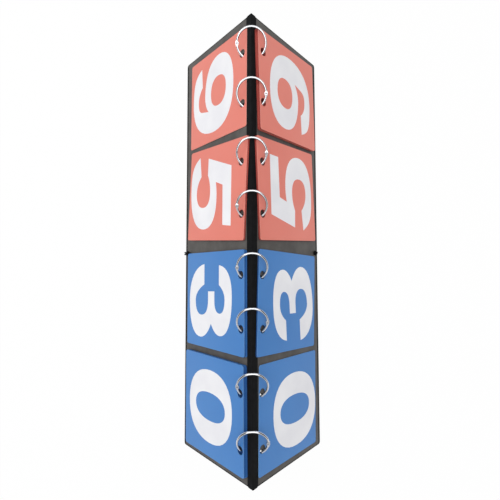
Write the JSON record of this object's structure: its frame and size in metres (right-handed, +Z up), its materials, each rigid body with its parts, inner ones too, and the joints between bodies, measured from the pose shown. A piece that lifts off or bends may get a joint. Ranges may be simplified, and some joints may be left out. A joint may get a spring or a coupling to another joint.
{
  "type": "tabletop flip scoreboard",
  "caption": "Tent of two covered boards with four positions of numeral leaves hung on hinged rings over the ridge, shown alike on both sides.",
  "frame": {"origin": "centre of the base, on the surface the boards stand on, midway along the ridge and between the two lower edges", "axes": "+X along the ridge, +Y towards the back board's lower edge, +Z up"},
  "size_m": [0.39, 0.1366, 0.0812],
  "materials": {
    "board_cloth": "grey board covered in dark grey book cloth",
    "lining_paper": "matt lining paper",
    "spine_cloth": "black book cloth",
    "red_leaf": "printed satin sheet, red round a white numeral",
    "blue_leaf": "printed satin sheet, blue round a white numeral",
    "ring_chrome": "bright nickel-chrome plated steel wire",
    "rivet_steel": "plated steel rivet",
    "cord_black": "black braided cord"
  },
  "bodies": {
    "front_board": {"front_board": "board_cloth", "front_lining": "lining_paper", "front_cord_knot": "cord_black", "spread_cord": "cord_black", "front_stack_2": "red_leaf", "front_stack_3": "blue_leaf", "front_stack_4": "blue_leaf"},
    "back_board": {"back_board": "board_cloth", "back_lining": "lining_paper", "back_cord_knot": "cord_black", "back_stack_1": "red_leaf", "back_stack_2": "red_leaf", "back_stack_3": "blue_leaf"},
    "spine": {"spine_strip": "spine_cloth"},
    "rings": {"ring_base_1": "ring_chrome", "ring_base_2": "ring_chrome", "ring_base_3": "ring_chrome", "ring_base_4": "ring_chrome", "ring_base_5": "ring_chrome", "ring_base_6": "ring_chrome", "ring_base_7": "ring_chrome", "ring_base_8": "ring_chrome", "ring_rivets": "rivet_steel"},
    "ring_top_1": {"ring_top_1": "ring_chrome"},
    "ring_top_2": {"ring_top_2": "ring_chrome"},
    "ring_top_3": {"ring_top_3": "ring_chrome"},
    "ring_top_4": {"ring_top_4": "ring_chrome"},
    "ring_top_5": {"ring_top_5": "ring_chrome"},
    "ring_top_6": {"ring_top_6": "ring_chrome"},
    "ring_top_7": {"ring_top_7": "ring_chrome"},
    "ring_top_8": {"ring_top_8": "ring_chrome"},
    "front_leaf_1": {"front_leaf_1": "red_leaf"},
    "front_leaf_2": {"front_leaf_2": "red_leaf"},
    "front_leaf_3": {"front_leaf_3": "blue_leaf"},
    "front_leaf_4": {"front_leaf_4": "blue_leaf"},
    "back_leaf_1": {"back_leaf_1": "red_leaf"},
    "back_leaf_2": {"back_leaf_2": "red_leaf"},
    "back_leaf_3": {"back_leaf_3": "blue_leaf"},
    "back_leaf_4": {"back_leaf_4": "blue_leaf"}
  },
  "joints": [
    {"name": "stand_fold", "type": "hinge", "parent": "front_board", "child": "back_board", "pos_m": [0, 0, 0.07507], "axis": [-1, 0, 0], "range_deg": [0, 80], "deforming": ["spine_strip", "spread_cord"]},
    {"name": "spine_follow", "type": "hinge", "parent": "front_board", "child": "spine", "pos_m": [0, 0, 0.07507], "axis": [-1, 0, 0], "range_deg": [0, 40]},
    {"name": "ring_shift", "type": "slide", "parent": "spine", "child": "rings", "axis": [-0.565, 0, -0.8251], "range_m": [0, 0.004]},
    {"name": "ring_open_1", "type": "hinge", "parent": "rings", "child": "ring_top_1", "pos_m": [-0.1714, -0.0124, 0.07478], "axis": [0.4384, 0, 0.8988], "range_deg": [0, 75]},
    {"name": "ring_open_2", "type": "hinge", "parent": "rings", "child": "ring_top_2", "pos_m": [-0.1268, 0.0124, 0.07478], "axis": [-0.4384, 0, -0.8988], "range_deg": [0, 75]},
    {"name": "ring_open_3", "type": "hinge", "parent": "rings", "child": "ring_top_3", "pos_m": [-0.0754, 0.0124, 0.07478], "axis": [-0.4384, 0, -0.8988], "range_deg": [0, 75]},
    {"name": "ring_open_4", "type": "hinge", "parent": "rings", "child": "ring_top_4", "pos_m": [-0.0308, -0.0124, 0.07478], "axis": [0.4384, 0, 0.8988], "range_deg": [0, 75]},
    {"name": "ring_open_5", "type": "hinge", "parent": "rings", "child": "ring_top_5", "pos_m": [0.0206, -0.0124, 0.07478], "axis": [0.4384, 0, 0.8988], "range_deg": [0, 75]},
    {"name": "ring_open_6", "type": "hinge", "parent": "rings", "child": "ring_top_6", "pos_m": [0.0652, 0.0124, 0.07478], "axis": [-0.4384, 0, -0.8988], "range_deg": [0, 75]},
    {"name": "ring_open_7", "type": "hinge", "parent": "rings", "child": "ring_top_7", "pos_m": [0.1166, -0.0124, 0.07478], "axis": [0.4384, 0, 0.8988], "range_deg": [0, 75]},
    {"name": "ring_open_8", "type": "hinge", "parent": "rings", "child": "ring_top_8", "pos_m": [0.1612, 0.0124, 0.07478], "axis": [-0.4384, 0, -0.8988], "range_deg": [0, 75]},
    {"name": "front_leaf_turn_1", "type": "hinge", "parent": "front_board", "child": "front_leaf_1", "pos_m": [0, 0, 0.08216], "axis": [-1, 0, 0], "range_deg": [0, 278], "deforming": ["front_leaf_1"]},
    {"name": "front_leaf_turn_2", "type": "hinge", "parent": "front_board", "child": "front_leaf_2", "pos_m": [0, 0, 0.08216], "axis": [-1, 0, 0], "range_deg": [0, 278], "deforming": ["front_leaf_2"]},
    {"name": "front_leaf_turn_3", "type": "hinge", "parent": "front_board", "child": "front_leaf_3", "pos_m": [0, 0, 0.08216], "axis": [-1, 0, 0], "range_deg": [0, 278], "deforming": ["front_leaf_3"]},
    {"name": "front_leaf_turn_4", "type": "hinge", "parent": "front_board", "child": "front_leaf_4", "pos_m": [0, 0, 0.08216], "axis": [-1, 0, 0], "range_deg": [0, 278], "deforming": ["front_leaf_4"]},
    {"name": "back_leaf_turn_1", "type": "hinge", "parent": "back_board", "child": "back_leaf_1", "pos_m": [0, 0, 0.08216], "axis": [1, 0, 0], "range_deg": [0, 278], "deforming": ["back_leaf_1"]},
    {"name": "back_leaf_turn_2", "type": "hinge", "parent": "back_board", "child": "back_leaf_2", "pos_m": [0, 0, 0.08216], "axis": [1, 0, 0], "range_deg": [0, 278], "deforming": ["back_leaf_2"]},
    {"name": "back_leaf_turn_3", "type": "hinge", "parent": "back_board", "child": "back_leaf_3", "pos_m": [0, 0, 0.08216], "axis": [1, 0, 0], "range_deg": [0, 278], "deforming": ["back_leaf_3"]},
    {"name": "back_leaf_turn_4", "type": "hinge", "parent": "back_board", "child": "back_leaf_4", "pos_m": [0, 0, 0.08216], "axis": [1, 0, 0], "range_deg": [0, 278], "deforming": ["back_leaf_4"]}
  ],
  "couplings": [
    {"joint": "spine_follow", "follows": "stand_fold", "ratio": 0.5},
    {"joint": "ring_shift", "follows": "stand_fold", "m_per_rad": 0.00286}
  ]
}
